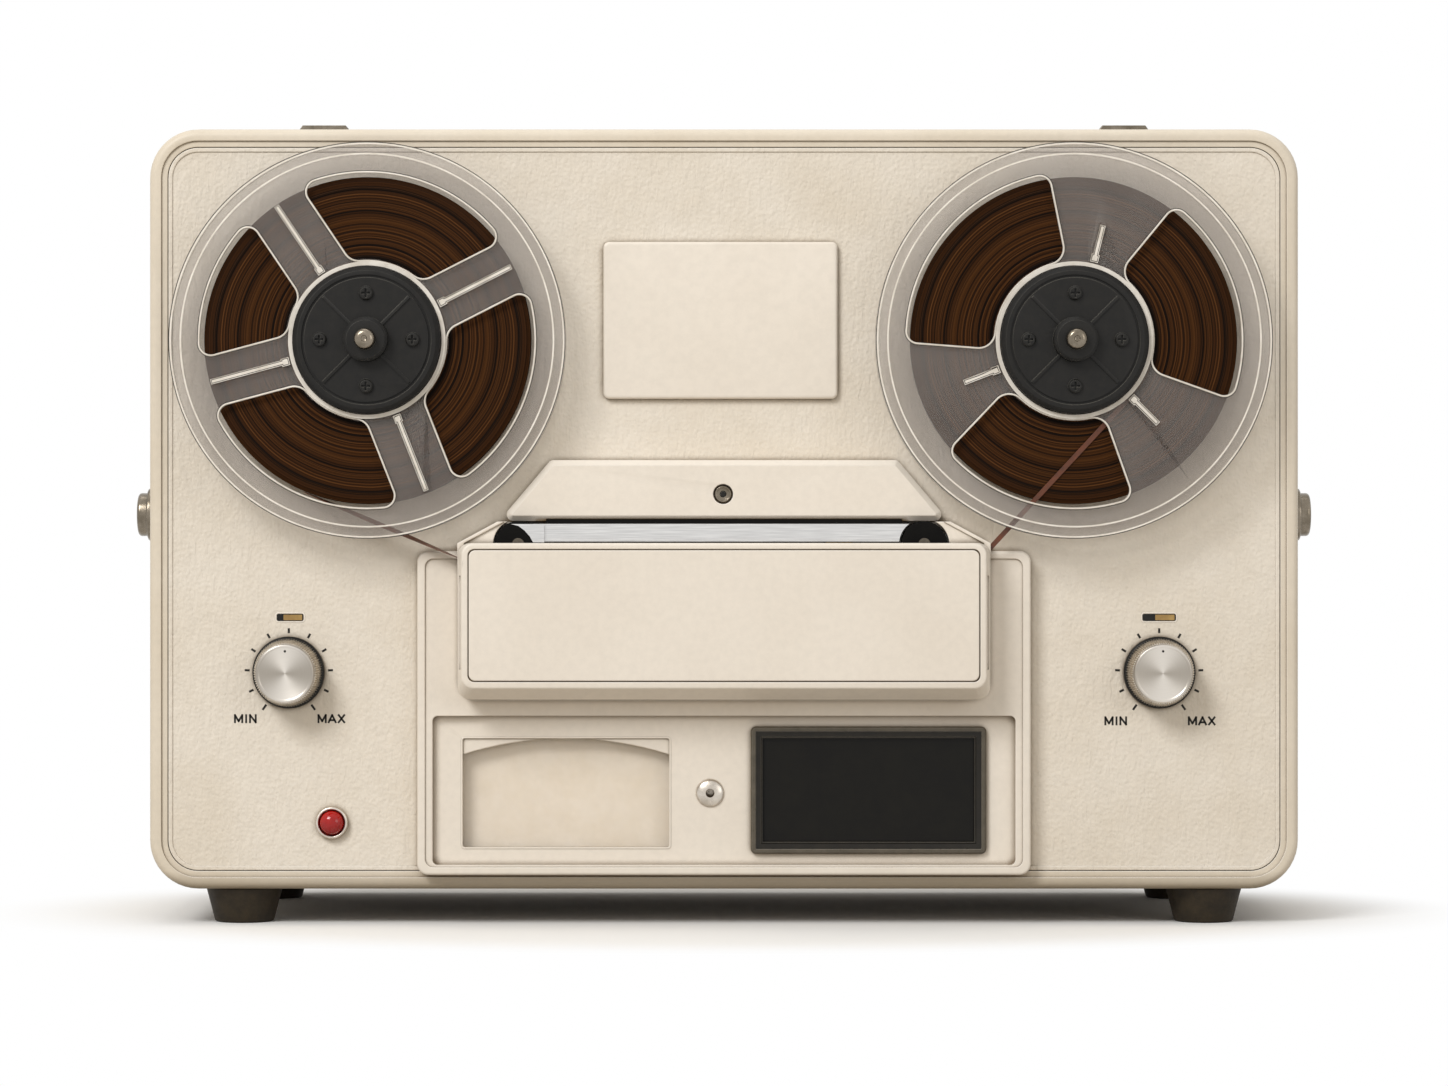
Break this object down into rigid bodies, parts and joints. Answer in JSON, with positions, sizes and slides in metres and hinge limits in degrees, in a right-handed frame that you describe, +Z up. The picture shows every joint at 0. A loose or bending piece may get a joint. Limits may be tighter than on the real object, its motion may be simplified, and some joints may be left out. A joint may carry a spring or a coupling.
{
  "type": "tape echo unit",
  "caption": "Upright tape echo unit: rounded case on feet, two open reels, guide rollers, head cover, meter, dark window, two knobs, side push-buttons and rear connectors.",
  "frame": {"origin": "centre of the bounding box in plan, at the level of the feet's soles", "axes": "+Z up, the reels and controls face -Y, +X to the right of someone facing them"},
  "size_m": [0.5352, 0.2364, 0.3621],
  "materials": {
    "cream_case": "moulded ABS, fine leather grain",
    "cream_cover": "moulded ABS, satin smooth",
    "clear_reel": "clear moulded polystyrene, slightly frosted",
    "tape": "oxide-coated film",
    "black_plastic": "black moulded plastic, satin",
    "chrome_steel": "polished chrome plate",
    "bright_sheet": "polished shield",
    "knob_silver": "turned and spun aluminium",
    "steel": "zinc plated steel",
    "dark_metal": "dark lacquered steel",
    "foot_rubber": "dark rubber",
    "belt_rubber": "black rubber",
    "brass": "turned brass",
    "amber_lens": "amber acrylic",
    "red_lens": "red cut acrylic",
    "dial_face": "blank printed card",
    "clear_pane": "clear acrylic",
    "smoked_pane": "smoked acrylic",
    "circuit": "glass-fibre circuit board",
    "iron_core": "lacquered laminations",
    "motor_can": "zinc plated can"
  },
  "bodies": {
    "root": {"cabinet_wrap": "cream_case", "rear_cover": "cream_case", "screws": "chrome_steel", "feet": "foot_rubber", "lid_catches": "dark_metal", "button_bezels": "dark_metal", "deck_panel": "cream_case", "chassis_plate": "steel", "nameplate_pad": "cream_cover", "bridge_cover": "cream_cover", "reel_motors": "motor_can", "tape_run": "tape", "deck_pins": "steel", "tape_shield": "bright_sheet", "head_housing": "cream_cover", "head_plate": "steel", "tape_heads": "chrome_steel", "capstan_bearing": "brass", "drive_motor": "motor_can", "drive_belt": "belt_rubber", "knob_rings": "black_plastic", "potentiometers": "steel", "slot_lenses": "amber_lens", "lamp_bezel": "chrome_steel", "lamp_lens": "red_lens", "lower_control_panel": "cream_cover", "meter_glass": "clear_pane", "meter_case": "black_plastic", "meter_face": "dial_face", "window_bezel": "black_plastic", "smoked_glass": "smoked_pane", "front_jack": "chrome_steel", "rear_jacks": "steel", "mains_inlet": "black_plastic", "transformer": "iron_core", "main_board": "circuit"},
    "left_reel": {"left_reel_front": "clear_reel", "left_reel_back": "clear_reel", "left_tape_pack": "tape", "left_hub_cap": "black_plastic", "left_spindle": "chrome_steel"},
    "right_reel": {"right_reel_front": "clear_reel", "right_reel_back": "clear_reel", "right_tape_pack": "tape", "right_hub_cap": "black_plastic", "right_spindle": "chrome_steel"},
    "left_roller": {"left_guide_roller": "black_plastic"},
    "right_roller": {"right_guide_roller": "black_plastic"},
    "capstan": {"flywheel": "steel", "capstan_shaft": "chrome_steel"},
    "pulley": {"motor_pulley": "brass"},
    "pinch_arm": {"pinch_arm": "steel"},
    "pinch_roller": {"pinch_roller": "belt_rubber"},
    "cover": {"head_cover": "cream_cover", "head_cover_inset": "cream_cover"},
    "left_knob": {"left_knob": "knob_silver"},
    "right_knob": {"right_knob": "knob_silver"},
    "left_button": {"left_side_button": "chrome_steel"},
    "right_button": {"right_side_button": "chrome_steel"},
    "needle": {"meter_needle": "black_plastic"}
  },
  "joints": [
    {"name": "left_reel_spin", "type": "hinge", "parent": "root", "child": "left_reel", "pos_m": [-0.16, -0.08025, 0.2635], "axis": [0, 1, 0], "continuous": true},
    {"name": "right_reel_spin", "type": "hinge", "parent": "root", "child": "right_reel", "pos_m": [0.157, -0.08025, 0.2635], "axis": [0, 1, 0], "continuous": true},
    {"name": "left_roller_spin", "type": "hinge", "parent": "root", "child": "left_roller", "pos_m": [-0.0923, -0.08025, 0.1721], "axis": [0, 1, 0], "continuous": true},
    {"name": "right_roller_spin", "type": "hinge", "parent": "root", "child": "right_roller", "pos_m": [0.0898, -0.08025, 0.1721], "axis": [0, 1, 0], "continuous": true},
    {"name": "capstan_spin", "type": "hinge", "parent": "root", "child": "capstan", "pos_m": [0.052, -0.08025, 0.1676], "axis": [0, 1, 0], "continuous": true},
    {"name": "motor_spin", "type": "hinge", "parent": "root", "child": "pulley", "pos_m": [-0.058, -0.08025, 0.1676], "axis": [0, 1, 0], "continuous": true},
    {"name": "pinch_swing", "type": "hinge", "parent": "root", "child": "pinch_arm", "pos_m": [0.078, -0.08025, 0.14965], "axis": [0, 1, 0], "range_deg": [0, 11.09]},
    {"name": "pinch_roller_spin", "type": "hinge", "parent": "pinch_arm", "child": "pinch_roller", "pos_m": [0.052, -0.08025, 0.14965], "axis": [0, 1, 0], "continuous": true},
    {"name": "head_cover_pull", "type": "slide", "parent": "root", "child": "cover", "axis": [0, -1, 0], "range_m": [0, 0.06]},
    {"name": "left_knob_turn", "type": "hinge", "parent": "root", "child": "left_knob", "pos_m": [-0.197, -0.08025, 0.114], "axis": [0, 1, 0], "range_deg": [-145, 145]},
    {"name": "right_knob_turn", "type": "hinge", "parent": "root", "child": "right_knob", "pos_m": [0.197, -0.08025, 0.114], "axis": [0, 1, 0], "range_deg": [-145, 145]},
    {"name": "left_button_press", "type": "slide", "parent": "root", "child": "left_button", "axis": [1, 0, 0], "range_m": [0, 0.0025], "stiffness_N_per_m": 800, "springref_m": -0.002},
    {"name": "right_button_press", "type": "slide", "parent": "root", "child": "right_button", "axis": [-1, 0, 0], "range_m": [0, 0.0025], "stiffness_N_per_m": 800, "springref_m": -0.002},
    {"name": "needle_swing", "type": "hinge", "parent": "root", "child": "needle", "pos_m": [-0.07135, -0.08025, 0.0314], "axis": [0, 1, 0], "range_deg": [0, 126], "stiffness_Nm_per_rad": 0.0002, "springref_deg": -11.46}
  ],
  "couplings": [
    {"joint": "right_reel_spin", "follows": "left_reel_spin", "ratio": 1},
    {"joint": "left_roller_spin", "follows": "left_reel_spin", "ratio": 9.1667},
    {"joint": "right_roller_spin", "follows": "left_reel_spin", "ratio": 9.1667},
    {"joint": "motor_spin", "follows": "capstan_spin", "ratio": 5.7945}
  ]
}
